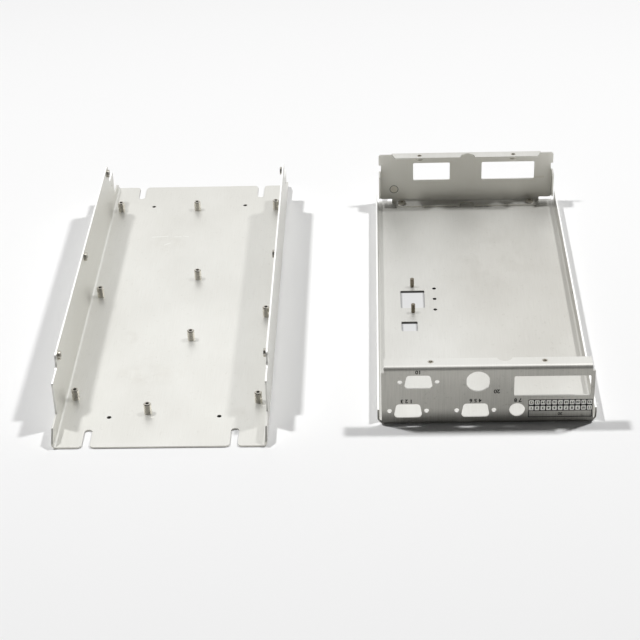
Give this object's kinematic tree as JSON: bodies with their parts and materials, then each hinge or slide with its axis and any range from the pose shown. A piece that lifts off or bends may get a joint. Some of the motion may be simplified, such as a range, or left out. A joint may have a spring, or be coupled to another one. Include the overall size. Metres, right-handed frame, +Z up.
{
  "type": "amplifier enclosure",
  "caption": "Folded sheet-metal amplifier enclosure, opened: base tray with standoffs beside its upturned cover with connector panels.",
  "frame": {"origin": "middle of the underside of the base tray", "axes": "+Z up, -Y towards the front with the connector cut-outs, +X towards the cover"},
  "size_m": [0.3671, 0.368, 0.0466],
  "materials": {
    "base_sheet": "satin sheet",
    "cover_sheet": "satin sheet",
    "rear_sheet": "satin sheet",
    "standoff": "bright nickel",
    "nut": "bright nickel",
    "screw": "zinc",
    "stud": "zinc"
  },
  "bodies": {
    "root": {"base_tray": "base_sheet", "cover_sheet": "cover_sheet", "rear_panel": "rear_sheet", "standoff_left_front": "standoff", "standoff_left_middle": "standoff", "standoff_left_rear": "standoff", "standoff_centre_front": "standoff", "standoff_centre_second": "standoff", "standoff_centre_third": "standoff", "standoff_centre_rear": "standoff", "standoff_right_front": "standoff", "standoff_right_middle": "standoff", "standoff_right_rear": "standoff", "left_wall_nut_front": "nut", "left_wall_nut_middle": "nut", "left_wall_nut_rear": "nut", "right_wall_nut_front": "nut", "right_wall_nut_middle": "nut", "right_wall_nut_rear": "nut", "front_edge_nut_left": "nut", "front_edge_nut_right": "nut", "rear_edge_nut_left": "nut", "rear_edge_nut_right": "nut", "foot_nut_left": "nut", "foot_screw_left": "screw", "foot_nut_right": "nut", "foot_screw_right": "screw", "cover_stud_front": "stud", "cover_stud_rear": "stud", "ground_stud": "stud"}
  },
  "joints": []
}
